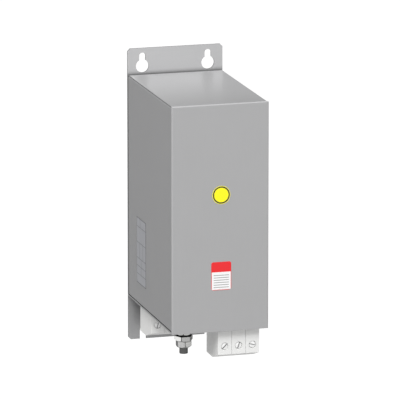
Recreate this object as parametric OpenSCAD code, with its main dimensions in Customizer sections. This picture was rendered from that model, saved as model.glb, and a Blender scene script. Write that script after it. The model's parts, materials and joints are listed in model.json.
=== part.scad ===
// Three-phase line filter in a folded sheet case, hung on a wall by its back plate.
// The origin is the centre of the back plate's rear face. +Z is up, -Y is the front, +X is right.

/* [Back plate] */
// Width of the back plate and of the case
plate_w = 90; // [88:0.5:110]
// Height of the back plate
plate_h = 273; // [265:0.5:300]
// Thickness of the folded sheet
sheet_t = 1.5; // [1.2:0.1:1.8]
// Size of the back plate's cut corners
plate_corner = 2.4; // [1:0.1:4]
// From the plate's side edge to the middle of a fixing slot
slot_edge = 14; // [12:0.1:17]
// Width of a fixing slot
slot_w = 6; // [4.5:0.1:7]
// Diameter of a keyhole's round end
keyhole_d = 12.1; // [10:0.1:13]
// From the plate's top edge to the centre of a keyhole's slot end
keyhole_drop = 7.4; // [6:0.1:8]
// From the centre of a keyhole's slot end to the centre of its round end
keyhole_throat = 9.3; // [8.5:0.05:10]
// From the plate's bottom edge to the centre of a foot slot's round end
foot_slot_h = 8; // [6:0.1:12]

/* [Case] */
// Depth of the filter from the wall to its front
case_d = 150; // [146:0.5:175]
// From the plate's top edge down to the top of the case
case_top_drop = 23.8; // [23:0.1:28]
// From the plate's bottom edge up to the underside of the case
case_foot_h = 41.2; // [38:0.1:46]
// Outer radius of the two bends beside the case's top
top_bend_r = 1.9; // [1.9:0.1:6]
// How far the front panel stands past the case's top sheet
panel_lap = 0.4; // [0:0.1:1.2]
// How far the front panel stands past the bottom tray
tray_lap = 0.4; // [0:0.1:1.2]
// Rounding of the front panel's outer edges
front_edge_r = 1.4; // [0.5:0.1:1.4]
// Open gap between a side wall and the bottom tray
tray_gap = 0.9; // [0.6:0.1:2]
// Height of the tray's folded flanges
tray_flange_h = 12; // [10:0.5:14]
// Thickness of the strips between the case and the back plate
strip_t = 3; // [2.5:0.1:4]
// Width of a strip
strip_w = 10; // [9:0.5:12]
// From the case's side to the outer edge of a strip
strip_inset = 2; // [1.8:0.1:3]
// Width of the case's folded rear flanges
rear_flange_w = 12; // [11:0.5:14]
// Length of one leg of a corner angle
angle_leg = 12; // [9:0.5:14]

/* [Case fasteners] */
// Diameter of the six countersunk cover screws
cover_screw_d = 4; // [3:0.1:4.5]
// Height of a cover screw's conical head
cover_head_h = 1.9; // [1.6:0.1:2.2]
// Height of a press nut on the rear flange
press_nut_h = 2.6; // [2:0.1:3]
// Diameter of the rivets in the back plate
rivet_d = 3.2; // [2.4:0.1:4]
// Height of a rivet's inner head
rivet_head_h = 1; // [0.8:0.1:1.4]

/* [Terminal blocks] */
// Distance between the poles of a terminal block
pole_pitch = 12.95; // [12.4:0.05:13.2]
// Gap of the seam between two poles
pole_seam = 0.2; // [0.1:0.05:0.3]
// Depth of a terminal block
block_d = 37.3; // [35:0.1:40]
// Height of a block's front face below the case
pole_h = 23.8; // [23:0.1:28]
// How far a block's underside drops behind its front face
chin_h = 6.1; // [4:0.1:7]
// Depth of the sloping front part of a block's underside
chin_d = 17.9; // [14:0.1:18.4]
// From the case's right side to the load block
load_side_gap = 6.3; // [5:0.1:8]
// From the case's left side to the line block
line_side_gap = 7.7; // [5:0.1:8]
// From the case's front to the front face of the load block
load_set_back = 7.2; // [6:0.1:9]
// From the back plate to the rear face of the line block
line_back_gap = 13.3; // [12:0.1:24]
// Thickness of a pole's side walls
pole_wall = 1.4; // [1.2:0.05:1.6]
// Thickness of a pole's front wall
pole_front_t = 4.2; // [3.8:0.1:5]
// Diameter of a clamp screw's head
head_d = 6.1; // [5.6:0.1:6.4]
// Height of a clamp screw's head
head_h = 2.6; // [2.2:0.1:3]
// How far a clamp screw's head lies behind the block's front face
head_sink = 0.3; // [0.2:0.05:0.6]
// Diameter of a clamp screw's shank
shank_d = 5; // [4:0.1:5.2]
// Thread pitch of a clamp screw
clamp_pitch = 0.8; // [0.7:0.05:1]
// Width of the driver slot in a screw head
driver_w = 0.9; // [0.7:0.05:1.2]
// Depth of the driver slot in a screw head
driver_deep = 1.1; // [0.8:0.05:1.4]
// From the front face's lower edge up to a screw's centre
screw_h = 7.75; // [7:0.05:8.5]
// Thickness of a pole's rear wall
pole_back_t = 6; // [4:0.1:7]
// Thinnest wire that a clamp cage holds
grip_min = 1; // [0.5:0.1:2]
// Height of a clamp cage
cage_h = 8; // [7.5:0.1:8.5]
// Thickness of a cage's threaded front wall
cage_nut_t = 2.4; // [2:0.1:2.6]
// Thickness of a cage's rear wall
cage_rear_t = 1.6; // [1.4:0.1:2]
// Thickness of a cage's side walls
cage_side_t = 0.9; // [0.7:0.05:1.1]
// Thickness of a contact bar
bar_t = 2; // [1.5:0.1:2.4]
// How far a contact bar stands above the tray
bar_rise = 14; // [11:0.5:16]
// How far a pole's neck stands above the tray
neck_h = 4.5; // [4:0.1:6]
// Depth of a pole's neck
neck_d = 21; // [18:0.5:22]

/* [Earth stud] */
// Diameter of the earth stud
stud_d = 8; // [6:0.1:8.2]
// Thread pitch of the earth stud
stud_pitch = 1.25; // [1:0.05:1.5]
// From the case's left side to the stud's axis
stud_in = 19.5; // [17:0.1:22]
// From the case's front to the stud's axis
stud_set_back = 30.5; // [26:0.1:34]
// Length of the stud below the case
stud_len = 25.7; // [25:0.1:30]
// Thickness of the plain washer under the tray
washer_t = 2; // [1.2:0.1:2.4]
// Outer diameter of the plain washer
washer_d = 16; // [15:0.1:18]
// Height of the fixed upper nut
upper_nut_h = 6.9; // [5:0.1:7]
// Thickness of the toothed lock washer
lock_t = 0.8; // [0.6:0.05:1.2]
// Outer diameter of the toothed lock washer
lock_d = 14.8; // [13.5:0.1:16]
// Height of the clamp collar
collar_h = 4.8; // [4:0.1:5.5]
// Width of the clamp collar across its flats
collar_flats = 14.8; // [13.5:0.1:16]
// Height of the loose lower nut
lower_nut_h = 5.6; // [5:0.1:6]
// Width of the nuts across their flats
nut_flats = 13; // [12:0.1:13.5]

/* [Chokes] */
// From the case's inner side to a choke's winding
choke_side_gap = 8.2; // [7.5:0.1:12]
// Share of a choke core's diameter that its hole takes
core_hole_share = 0.58; // [0.54:0.01:0.62]
// Height of a choke core
core_h = 22; // [18:0.5:24]
// Thickness of the winding's flat wire
wire_t = 4; // [3:0.1:4.4]
// Share of the winding's inner side that its flat wire fills
wire_fill_share = 0.7; // [0.5:0.01:0.8]
// Turns in each winding
turns = 7; // [5:1:7]
// Thickness of the insulating pads between the chokes
pad_t = 3; // [2:0.1:4]
// From the case's top to the chokes
choke_top_gap = 8; // [6:0.5:10]
// Diameter of the stud through the chokes
choke_stud_d = 6; // [5:0.1:6.5]

/* [Capacitor board] */
// From the case's inner side to the capacitor board
board_side_gap = 6.5; // [5.5:0.1:8]
// From the spacer strips' lower ends up to the capacitor board
board_foot_gap = 8.4; // [6:0.1:12]
// Thickness of the capacitor board
board_t = 1.6; // [1.2:0.1:2]
// Height of the stand-offs under the board
standoff_h = 9; // [7:0.1:10]
// Width of a large capacitor
xcap_w = 21; // [18:0.5:24]
// How far a large capacitor stands off the board
xcap_d = 21; // [18:0.5:23]
// Width of a small capacitor
ycap_w = 13; // [10:0.5:14]
// How far a small capacitor stands off the board
ycap_d = 12; // [8:0.5:14]
// Height of a small capacitor
ycap_h = 6; // [4:0.5:7]
// Diameter of a discharge resistor
resistor_d = 4.5; // [3:0.1:5]
// Length of a discharge resistor
resistor_l = 14; // [10:0.5:16]
// Diameter of the insulated leads
lead_d = 5; // [4:0.1:5.2]

/* [Stickers] */
// Thickness of a sticker
sticker_t = 0.15; // [0.1:0.01:0.25]
// Diameter of the round sticker
round_d = 16.6; // [12:0.1:24]
// From the case's top down to the round sticker
round_drop = 74.4; // [60:0.1:80]
// Width of the notice sticker
notice_w = 18.5; // [14:0.1:24]
// Height of the notice sticker
notice_h = 25.8; // [20:0.1:30]
// From the case's top down to the notice sticker
notice_drop = 143.9; // [130:0.1:150]
// Corner radius of the notice sticker
notice_r = 2; // [1:0.1:3]
// How far right of the middle both front stickers sit
front_sticker_x = 0.8; // [-3:0.1:3]
// Depth of the rating sticker along the side
rating_d = 30.9; // [26:0.1:40]
// Height of the rating sticker
rating_h = 61.1; // [50:0.1:70]
// From the case's front to the rating sticker
rating_set_back = 87; // [70:0.5:92]
// From the case's underside up to the rating sticker
rating_up = 21.3; // [16:0.1:30]

/* [Hidden] */
$fn = 64;

// Overrun of a cut past the face that it opens
over = 1;
// Clearance of a part that slides or drops in
slide_clear = 0.3;
// Clearance of a turning fit
turn_clear = 0.08;
// Clearance of a part that stays put in its hole
seat_clear = 0.15;

// Case
slot_pitch = plate_w - 2 * slot_edge;
case_top = plate_h / 2 - case_top_drop;
case_bottom = case_foot_h - plate_h / 2;
case_front = -case_d;
plate_front = -sheet_t;
wrap_rear = plate_front - strip_t;
wrap_top = case_top - panel_lap;
tray_bottom = case_bottom + tray_lap;
tray_top = tray_bottom + sheet_t;
wrap_bottom = tray_top + tray_gap;
inner_x = plate_w / 2 - sheet_t;
panel_rear = case_front + sheet_t;
strip_end_gap = 6;
strip_z0 = tray_top + tray_flange_h + strip_end_gap;
strip_z1 = wrap_top - sheet_t - strip_end_gap;
strip_x = plate_w / 2 - strip_inset - strip_w / 2;
cover_screw_end = 16;
cover_screw_z = [strip_z0 + cover_screw_end, (strip_z0 + strip_z1) / 2, strip_z1 - cover_screw_end];
cover_head_r = cover_screw_d;
press_nut_r = cover_screw_d;
front_r = min(front_edge_r, sheet_t * 0.95);
strip_rivet_z = [for (i = [0, 1]) (cover_screw_z[i] + cover_screw_z[i + 1]) / 2];
tray_rivet_x = plate_w / 3.2;
rivet_head_r = rivet_d;

// Terminal blocks: 0 is the load block at the front right, 1 the line block at the rear left
poles = 3;
slot_angles = [[44, 70, -17], [77, 24, 128]];
pole_w = pole_pitch - pole_seam;
block_w = poles * pole_pitch;
screw_z = case_bottom - pole_h + screw_h;
head_r = head_d / 2;
shank_r = shank_d / 2;
cavity_w = pole_w - 2 * pole_wall;
cage_w = cavity_w - 2 * slide_clear;
cage_in_w = cage_w - 2 * cage_side_t;
cage_end_gap = 0.4;
bar_gap = 0.3;
cage_room = block_d - pole_front_t - pole_back_t - 2 * cage_end_gap - cage_nut_t - bar_gap - bar_t - cage_rear_t;
cage_travel = (cage_room - grip_min) / 2;
wire_gap = cage_travel + grip_min;
bar_w = cage_in_w - 2 * slide_clear;
cage_y = pole_front_t + cage_end_gap + cage_travel;
bar_y = cage_y + cage_nut_t + bar_gap;
cage_len = cage_nut_t + bar_gap + bar_t + wire_gap + cage_rear_t;
cavity_len = cage_y + cage_len + cage_end_gap - pole_front_t;
cavity_h = cage_h + 2 * slide_clear;
entry_y = bar_y + bar_t + slide_clear;
entry_d = wire_gap - 2 * slide_clear;
entry_w = cage_in_w - seat_clear;
neck_w = pole_w - pole_wall;
neck_y = bar_y + bar_t / 2 - neck_d / 2;
snap_nose = 1;
snap_h = 2;

// Earth stud
stud_x = stud_in - plate_w / 2;
stud_y = case_front + stud_set_back;
stud_r = stud_d / 2;
nut_r = nut_flats / sqrt(3);
collar_r = collar_flats / sqrt(3);
washer_z = tray_bottom - washer_t;
upper_nut_z = washer_z - upper_nut_h;
lock_z = upper_nut_z - lock_t;
collar_z = lock_z - collar_h;
lower_nut_z = collar_z - lower_nut_h;
stud_end = case_bottom - stud_len;
stud_head_h = 5.3;
stud_tip = 1;
// The free end below the loose nut is a little thinner, so that a lug slips on
stud_free_r = stud_r - 0.1 * stud_tip;
lock_teeth = 12;
upper_nut_angle = 12;
lower_nut_angle = 26;

// Chokes, on an axis along Y
wind_clear = 0.3;
choke_r = inner_x - choke_side_gap;
wind_r = choke_r - wire_t;
core_od = 2 * (wind_r - wind_clear);
core_hole_d = core_od * core_hole_share;
choke_half = core_h / 2 + wind_clear + wire_t;
choke_z = wrap_top - sheet_t - choke_top_gap - choke_r;
choke_rear_gap = 1;
choke_back = wrap_rear - sheet_t - press_nut_h - choke_rear_gap;
rear_choke_y = choke_back - choke_half;
front_choke_y = rear_choke_y - 2 * choke_half - pad_t;
clamp_y = front_choke_y - choke_half;
winding_angles = [30, 150, 270];
winding_sweep = 92;
turn_step = winding_sweep / turns;
winding_half = turn_step * (turns - 1) / 2;
wire_w = wire_fill_share * (core_hole_d / 2 - wind_clear - wire_t) * turn_step * PI / 180;
choke_stud_r = choke_stud_d / 2;
clamp_t = 2.5;
clamp_w = core_od * 0.8;
choke_nut_h = choke_stud_d * 0.8;
core_round = 2;
divider_t = 2;
divider_hub_r = choke_stud_r + 1.5 * divider_t;

// Capacitor board
board_rear = plate_front - standoff_h;
board_front = board_rear - board_t;
board_gap = 6;
board_z1 = choke_z - choke_r - board_gap;
board_z0 = strip_z0 + board_foot_gap;
board_h = board_z1 - board_z0;
board_w = 2 * (inner_x - board_side_gap);
board_edge = 4;
standoff_r = 3;
standoff_side = 1.5;
standoff_x = inner_x - rear_flange_w - standoff_r - standoff_side;
sheet_side = 1;
sheet_w = 2 * (strip_x - strip_w / 2 - sheet_side);
board_screw_r = 1.5;
board_screw_h = 2;
xcap_pitch = board_w / 3;
small_zone = 22;
xcap_h = (board_h - 3 * board_edge - small_zone) / 2;
xcap_rows = [board_z1 - 2 * board_edge - xcap_h, board_z0 + small_zone];
ycap_z = board_z0 + board_edge;
ycap_pitch = standoff_x - standoff_r - standoff_side - ycap_w / 2;
resistor_z = board_z0 + small_zone - resistor_d;
film_t = 0.5;

// Leads, which join the windings' lower ends to the contact bars
lead_r = lead_d / 2;
lead_touch = 0.05;
line_lead_y = block_y(1) + bar_y - lead_r - lead_touch;
load_lead_y = block_y(0) + bar_y + bar_t + lead_r + lead_touch;
lead_z = tray_top + bar_rise / 2;
cross_z = tray_top + bar_rise + 2 * lead_r;
cross_step = 3 * lead_r;
lead_ends = [winding_angles[1] + winding_half, winding_angles[2] - winding_half,
    winding_angles[0] - winding_half];
link_ends = [winding_angles[1] - winding_half, winding_angles[2] + winding_half,
    winding_angles[0] + winding_half];

// Where a block's front face lies, and where a pole's middle lies
function block_y(b) = b == 0 ? case_front + load_set_back : plate_front - line_back_gap - block_d;
function pole_x(b, k) = (b == 0 ? plate_w / 2 - load_side_gap - block_w : line_side_gap - plate_w / 2)
    + (k + 0.5) * pole_pitch;
// The underside of a winding's end turn, across the case and up
function end_x(k) = choke_r * cos(lead_ends[k]);
function end_z(k) = choke_z + choke_r * sin(lead_ends[k]) - wire_w / 2 - lead_touch;

// Places a child at each of the six cover screws
module at_cover_screws() {
    for (side = [-1, 1], z = cover_screw_z)
        translate([side * strip_x, 0, z]) rotate([90, 0, 0]) children();
}

// Places a child at each rivet of the strips
module at_strip_rivets() {
    for (side = [-1, 1], z = strip_rivet_z)
        translate([side * strip_x, 0, z]) rotate([90, 0, 0]) children();
}

// Places a child at each rivet of the tray's rear flange
module at_tray_rivets() {
    for (side = [-1, 0, 1])
        translate([side * tray_rivet_x, 0, tray_top + tray_flange_h / 2]) rotate([90, 0, 0]) children();
}

// Outline of the back plate with its keyholes and open foot slots
module plate_outline() {
    hw = plate_w / 2;
    hh = plate_h / 2;
    c = plate_corner;
    difference() {
        polygon([[-hw + c, -hh], [hw - c, -hh], [hw, -hh + c], [hw, hh - c],
            [hw - c, hh], [-hw + c, hh], [-hw, hh - c], [-hw, -hh + c]]);
        for (side = [-1, 1]) translate([side * slot_pitch / 2, 0]) {
            translate([0, hh - keyhole_drop]) circle(d = slot_w);
            translate([0, hh - keyhole_drop - keyhole_throat]) circle(d = keyhole_d);
            translate([-slot_w / 2, hh - keyhole_drop - keyhole_throat]) square([slot_w, keyhole_throat]);
            translate([0, foot_slot_h - hh]) circle(d = slot_w);
            translate([-slot_w / 2, -hh - over]) square([slot_w, foot_slot_h + over]);
        }
    }
}

module back_plate() {
    color("silver") difference() {
        rotate([90, 0, 0]) linear_extrude(height = sheet_t) plate_outline();
        at_cover_screws() {
            cylinder(r = cover_screw_d / 2 + seat_clear, h = sheet_t + over);
            countersink();
        }
        at_strip_rivets() rivet_hole();
        at_tray_rivets() rivet_hole();
    }
}

// Cut for a countersunk head, open at the wall side
module countersink() {
    slope = (cover_head_r - cover_screw_d / 2) / cover_head_h;
    translate([0, 0, -over])
        cylinder(r1 = cover_head_r + seat_clear + slope * over, r2 = cover_screw_d / 2 + seat_clear,
            h = cover_head_h + over);
}

module rivet_hole() {
    translate([0, 0, -over]) cylinder(r = rivet_d / 2 + seat_clear, h = sheet_t + strip_t + 2 * over);
}

// Solid outline across the case with two round upper corners
module arch(half_w, z0, z1, r) {
    translate([-half_w, z0]) square([2 * half_w, z1 - r - z0]);
    translate([-half_w + r, z0]) square([2 * (half_w - r), z1 - z0]);
    for (side = [-1, 1]) translate([side * (half_w - r), z1 - r]) circle(r = r);
}

// Left wall, top and right wall folded from one sheet, with inward flanges at the rear
module wrapper() {
    color("silver") difference() {
        union() {
            translate([0, wrap_rear, 0]) rotate([90, 0, 0]) linear_extrude(height = wrap_rear - panel_rear)
                difference() {
                    arch(plate_w / 2, wrap_bottom, wrap_top, top_bend_r);
                    arch(inner_x, wrap_bottom - over, wrap_top - sheet_t, top_bend_r - sheet_t);
                }
            for (side = [0, 1]) mirror([side, 0, 0])
                translate([inner_x - rear_flange_w, wrap_rear - sheet_t, strip_z0])
                    cube([rear_flange_w + sheet_t / 2, sheet_t, strip_z1 - strip_z0]);
        }
        at_cover_screws() cylinder(r = cover_screw_d / 2 + seat_clear, h = 3 * sheet_t + strip_t);
        at_strip_rivets() cylinder(r = rivet_head_r + seat_clear, h = 3 * sheet_t + strip_t);
    }
}

// Solid outline of the front panel's edge: two eased corners on the front side
module eased_bar(length) {
    intersection() {
        square([length, sheet_t]);
        union() {
            translate([0, front_r]) square([length, sheet_t]);
            translate([front_r, 0]) square([length - 2 * front_r, sheet_t]);
            for (x = [front_r, length - front_r]) translate([x, front_r]) circle(r = front_r);
        }
    }
}

// Section of the front panel from front to rear, with an eased upper edge
module front_profile(h) {
    square([sheet_t, h - front_r]);
    translate([front_r, 0]) square([sheet_t - front_r, h]);
    intersection() {
        square([sheet_t, h]);
        translate([front_r, h - front_r]) circle(r = front_r);
    }
}

// Flat front of the case, with eased side and top edges, which also covers the tray's front edge
module front_panel() {
    h = case_top - case_bottom;
    color("silver") intersection() {
        translate([-plate_w / 2, case_front, case_bottom]) linear_extrude(height = h) eased_bar(plate_w);
        translate([-plate_w / 2 - over, case_front, case_bottom]) rotate([90, 0, 90])
            linear_extrude(height = plate_w + 2 * over) front_profile(h);
    }
}

// Bottom of the case with a rear and a front flange
module bottom_tray() {
    hw = plate_w / 2;
    tray_d = plate_front - panel_rear;
    flange_x = inner_x - slide_clear;
    color("silver") difference() {
        union() {
            translate([-hw, panel_rear, tray_bottom]) cube([plate_w, tray_d, sheet_t]);
            translate([-flange_x, plate_front - sheet_t, tray_bottom])
                cube([2 * flange_x, sheet_t, sheet_t + tray_flange_h]);
            translate([-flange_x, panel_rear, tray_bottom])
                cube([2 * flange_x, sheet_t, sheet_t + tray_flange_h]);
        }
        for (b = [0, 1], k = [0:poles - 1])
            translate([pole_x(b, k) - neck_w / 2 - seat_clear, block_y(b) + neck_y - seat_clear, tray_bottom - over])
                cube([neck_w + 2 * seat_clear, neck_d + 2 * seat_clear, sheet_t + 2 * over]);
        translate([stud_x, stud_y, tray_bottom - over]) cylinder(r = stud_r + seat_clear, h = sheet_t + 2 * over);
        at_tray_rivets() rivet_hole();
    }
}

module spacer_strips() {
    color("gray") difference() {
        for (side = [-1, 1]) translate([side * strip_x - strip_w / 2, wrap_rear, strip_z0])
            cube([strip_w, strip_t, strip_z1 - strip_z0]);
        at_cover_screws() {
            cylinder(r = cover_screw_d / 2 + seat_clear, h = sheet_t + strip_t + over);
            countersink();
        }
        at_strip_rivets() rivet_hole();
    }
}

// Two angles that join the front panel to the wrapper's side walls
module corner_angles() {
    z0 = tray_top + tray_flange_h + sheet_t;
    z1 = wrap_top - top_bend_r - sheet_t;
    color("silver") for (side = [0, 1]) mirror([side, 0, 0]) translate([inner_x, panel_rear, z0]) {
        translate([-angle_leg, 0, 0]) cube([angle_leg, sheet_t, z1 - z0]);
        translate([-sheet_t, 0, 0]) cube([sheet_t, angle_leg, z1 - z0]);
    }
}

module cover_screws() {
    reach = sheet_t * 2 + strip_t + press_nut_h;
    color("dimgray") at_cover_screws() difference() {
        union() {
            cylinder(r1 = cover_head_r, r2 = cover_screw_d / 2, h = cover_head_h);
            cylinder(d = cover_screw_d, h = reach);
        }
        for (turn = [0, 90]) rotate([0, 0, turn]) translate([-cover_screw_d / 2, -driver_w / 2, -over])
            cube([cover_screw_d, driver_w, driver_deep + over]);
    }
}

module press_nuts() {
    color("darkgray") at_cover_screws() translate([0, 0, sheet_t * 2 + strip_t]) difference() {
        cylinder(r = press_nut_r, h = press_nut_h);
        translate([0, 0, -over]) cylinder(r = cover_screw_d / 2 + turn_clear, h = press_nut_h + 2 * over);
    }
}

// A rivet with a flush tail in the plate and a round head inside
module rivet(grip) {
    cylinder(d = rivet_d, h = grip);
    translate([0, 0, grip]) cylinder(r1 = rivet_head_r, r2 = rivet_d / 2, h = rivet_head_h);
}

module plate_rivets() {
    color("gainsboro") {
        at_strip_rivets() rivet(sheet_t + strip_t);
        at_tray_rivets() rivet(2 * sheet_t);
    }
}

// Thin insulating sheet on the back plate, behind the board
module insulation_sheet() {
    color("ivory") difference() {
        translate([-sheet_w / 2, plate_front - film_t, board_z0]) cube([sheet_w, film_t, board_h]);
        at_board_corners() cylinder(r = standoff_r + slide_clear, h = standoff_h);
    }
}

// Side outline of a pole: Y to the right, Z up, seen from +X, with its front at Y = 0
module pole_side() {
    polygon([[0, tray_lap], [0, -pole_h], [chin_d, -pole_h - chin_h], [block_d, -pole_h - chin_h],
        [block_d, tray_lap]]);
}

// One pole's moulded housing, open below for the wire and in front for the screw
module pole_housing(b, k) {
    color("whitesmoke") translate([pole_x(b, k), block_y(b), 0]) difference() {
        union() {
            translate([-pole_w / 2, 0, case_bottom]) rotate([90, 0, 90])
                linear_extrude(height = pole_w) pole_side();
            translate([-neck_w / 2, neck_y, tray_bottom - over])
                cube([neck_w, neck_d, sheet_t + neck_h + over]);
            translate([-neck_w / 2, neck_y - snap_nose, tray_top + seat_clear])
                cube([neck_w, neck_d + 2 * snap_nose, snap_h]);
        }
        translate([-cavity_w / 2, pole_front_t, screw_z - cavity_h / 2])
            cube([cavity_w, cavity_len, cavity_h]);
        translate([-entry_w / 2, entry_y, case_bottom - pole_h - chin_h - over])
            cube([entry_w, entry_d, screw_z - case_bottom + pole_h + chin_h + over]);
        translate([-bar_w / 2 - seat_clear, bar_y - seat_clear, screw_z])
            cube([bar_w + 2 * seat_clear, bar_t + 2 * seat_clear, tray_top + neck_h - screw_z + over]);
        translate([0, 0, screw_z]) rotate([-90, 0, 0]) {
            translate([0, 0, -over]) cylinder(r = head_r + slide_clear, h = head_sink + head_h + seat_clear + over);
            cylinder(r = shank_r + slide_clear, h = pole_front_t + over);
        }
    }
}

// The cage that pulls the wire against the bar, with its threaded front wall
module clamp_cage(b, k) {
    color("goldenrod") translate([pole_x(b, k), block_y(b) + cage_y, screw_z]) difference() {
        translate([-cage_w / 2, 0, -cage_h / 2]) cube([cage_w, cage_len, cage_h]);
        translate([-cage_in_w / 2, cage_nut_t, -cage_h / 2 - over])
            cube([cage_in_w, cage_len - cage_nut_t - cage_rear_t, cage_h + 2 * over]);
        translate([0, -over, 0]) rotate([-90, 0, 0])
            cylinder(r = shank_r + turn_clear, h = cage_nut_t + 2 * over);
    }
}

// A slotted clamp screw that turns in place
module clamp_screw(b, k) {
    length = bar_y - bar_gap - head_sink;
    color("silver") translate([pole_x(b, k), block_y(b) + head_sink, screw_z]) difference() {
        rotate([-90, 0, 0]) {
            cylinder(r = head_r, h = head_h);
            cylinder(r = shank_r, h = length);
        }
        rotate([0, -slot_angles[b][k], 0]) translate([-head_d, -over, -driver_w / 2])
            cube([2 * head_d, driver_deep + over, driver_w]);
    }
}

// The three contact bars of a block, from the clamp cages up into the case
module contact_bars(b) {
    z0 = screw_z - cage_h / 2;
    color("tan") for (k = [0:poles - 1])
        translate([pole_x(b, k) - bar_w / 2, block_y(b) + bar_y, z0])
            cube([bar_w, bar_t, tray_top + bar_rise - z0]);
}

module load_housing_1() { pole_housing(0, 0); }
module load_housing_2() { pole_housing(0, 1); }
module load_housing_3() { pole_housing(0, 2); }
module line_housing_1() { pole_housing(1, 0); }
module line_housing_2() { pole_housing(1, 1); }
module line_housing_3() { pole_housing(1, 2); }
module load_cage_1() { clamp_cage(0, 0); }
module load_cage_2() { clamp_cage(0, 1); }
module load_cage_3() { clamp_cage(0, 2); }
module line_cage_1() { clamp_cage(1, 0); }
module line_cage_2() { clamp_cage(1, 1); }
module line_cage_3() { clamp_cage(1, 2); }
module load_screw_1() { clamp_screw(0, 0); }
module load_screw_2() { clamp_screw(0, 1); }
module load_screw_3() { clamp_screw(0, 2); }
module line_screw_1() { clamp_screw(1, 0); }
module line_screw_2() { clamp_screw(1, 1); }
module line_screw_3() { clamp_screw(1, 2); }
module load_bars() { contact_bars(0); }
module line_bars() { contact_bars(1); }

// A hexagon with its lower rim chamfered, and its upper rim too where asked
module chamfered_hex(r, h, turn, both) {
    flat = r * sqrt(3) / 2;
    base = flat * 0.9;
    rim = flat + (r - flat) * 0.9;
    drop = (rim - base) * 0.9;
    upper = both ? [[rim, h - drop], [base, h]] : [[rim, h]];
    intersection() {
        rotate([0, 0, turn]) cylinder(r = r, h = h, $fn = 6);
        rotate_extrude() polygon(concat([[0, 0], [base, 0], [rim, drop]], upper, [[0, h]]));
    }
}

// A threaded or plain hexagon on the stud
module stud_hex(z, r, h, turn, both, bore_r) {
    translate([stud_x, stud_y, z]) difference() {
        chamfered_hex(r, h, turn, both);
        translate([0, 0, -over]) cylinder(r = bore_r, h = h + 2 * over);
    }
}

// Hexagon-headed stud that hangs down through the tray, with a thinner free end
module earth_stud() {
    color("dimgray") translate([stud_x, stud_y, 0]) {
        translate([0, 0, tray_top]) cylinder(r = nut_r, h = stud_head_h, $fn = 6);
        translate([0, 0, lower_nut_z]) cylinder(r = stud_r, h = tray_top - lower_nut_z);
        translate([0, 0, stud_end + stud_tip]) cylinder(r = stud_free_r, h = lower_nut_z - stud_end - stud_tip);
        translate([0, 0, stud_end]) cylinder(r1 = stud_free_r - stud_tip, r2 = stud_free_r, h = stud_tip);
    }
}

module earth_washer() {
    color("silver") translate([stud_x, stud_y, washer_z]) difference() {
        cylinder(d = washer_d, h = washer_t);
        translate([0, 0, -over]) cylinder(r = stud_r + slide_clear, h = washer_t + 2 * over);
    }
}

module earth_upper_nut() {
    color("silver") stud_hex(upper_nut_z, nut_r, upper_nut_h, upper_nut_angle, true, stud_r + turn_clear);
}

// Toothed lock washer, free on the stud
module lock_washer() {
    tooth_w = lock_d / lock_teeth;
    color("black") translate([stud_x, stud_y, lock_z]) difference() {
        cylinder(d = lock_d, h = lock_t);
        translate([0, 0, -over]) cylinder(r = stud_r + slide_clear, h = lock_t + 2 * over);
        for (i = [0:lock_teeth - 1]) rotate([0, 0, i * 360 / lock_teeth])
            translate([lock_d / 2 - tooth_w, -tooth_w / 4, -over])
                cube([tooth_w + over, tooth_w / 2, lock_t + 2 * over]);
    }
}

module earth_collar() {
    color("silver") stud_hex(collar_z, collar_r, collar_h, 0, false, stud_r + slide_clear);
}

module earth_nut() {
    color("silver") stud_hex(lower_nut_z, nut_r, lower_nut_h, lower_nut_angle, false, stud_r + turn_clear);
}

// A ring core with rounded edges
module core(y) {
    half_w = (core_od - core_hole_d) / 4;
    mid_r = (core_od + core_hole_d) / 4;
    color("darkslategray") translate([0, y, choke_z]) rotate([90, 0, 0]) rotate_extrude($fn = 96)
        translate([mid_r, 0]) {
            square([2 * (half_w - core_round), core_h], center = true);
            square([2 * half_w, core_h - 2 * core_round], center = true);
            for (sx = [-1, 1], sy = [-1, 1])
                translate([sx * (half_w - core_round), sy * (core_h / 2 - core_round)]) circle(r = core_round);
        }
}

// One turn of flat wire round the core's section, at angle zero
module wire_turn() {
    r0 = core_hole_d / 2 - wind_clear;
    r1 = wind_r;
    h = core_h / 2 + wind_clear;
    translate([0, wire_w / 2, 0]) rotate([90, 0, 0]) linear_extrude(height = wire_w) difference() {
        translate([r0 - wire_t, -h - wire_t]) square([r1 - r0 + 2 * wire_t, 2 * (h + wire_t)]);
        translate([r0, -h]) square([r1 - r0, 2 * h]);
    }
}

module windings(y) {
    color("peru") translate([0, y, choke_z]) rotate([90, 0, 0])
        for (a = winding_angles, i = [0:turns - 1])
            rotate([0, 0, a - winding_half + i * turn_step]) wire_turn();
}

// Three-armed insulating spacer in a core's hole
module divider(y) {
    color("seashell") translate([0, y, choke_z]) rotate([90, 0, 0]) difference() {
        union() {
            cylinder(r = divider_hub_r, h = core_h, center = true);
            for (a = winding_angles) rotate([0, 0, a + 60])
                translate([0, -divider_t / 2, -core_h / 2]) cube([core_hole_d / 2 - seat_clear, divider_t, core_h]);
        }
        cylinder(r = choke_stud_r + slide_clear, h = core_h + 2 * over, center = true);
    }
}

module rear_core() { core(rear_choke_y); }
module front_core() { core(front_choke_y); }
module rear_windings() { windings(rear_choke_y); }
module front_windings() { windings(front_choke_y); }
module rear_divider() { divider(rear_choke_y); }
module front_divider() { divider(front_choke_y); }

// Insulating disc round the choke stud
module choke_pad(y, t) {
    translate([0, y, choke_z]) rotate([90, 0, 0]) difference() {
        cylinder(d = core_od, h = t, $fn = 96);
        translate([0, 0, -over]) cylinder(r = choke_stud_r + slide_clear, h = t + 2 * over);
    }
}

// A thick disc behind the rear choke and a thin one between the chokes
module choke_pads() {
    color("seashell") {
        choke_pad(plate_front, plate_front - choke_back);
        choke_pad(rear_choke_y - choke_half, pad_t);
    }
}

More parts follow.
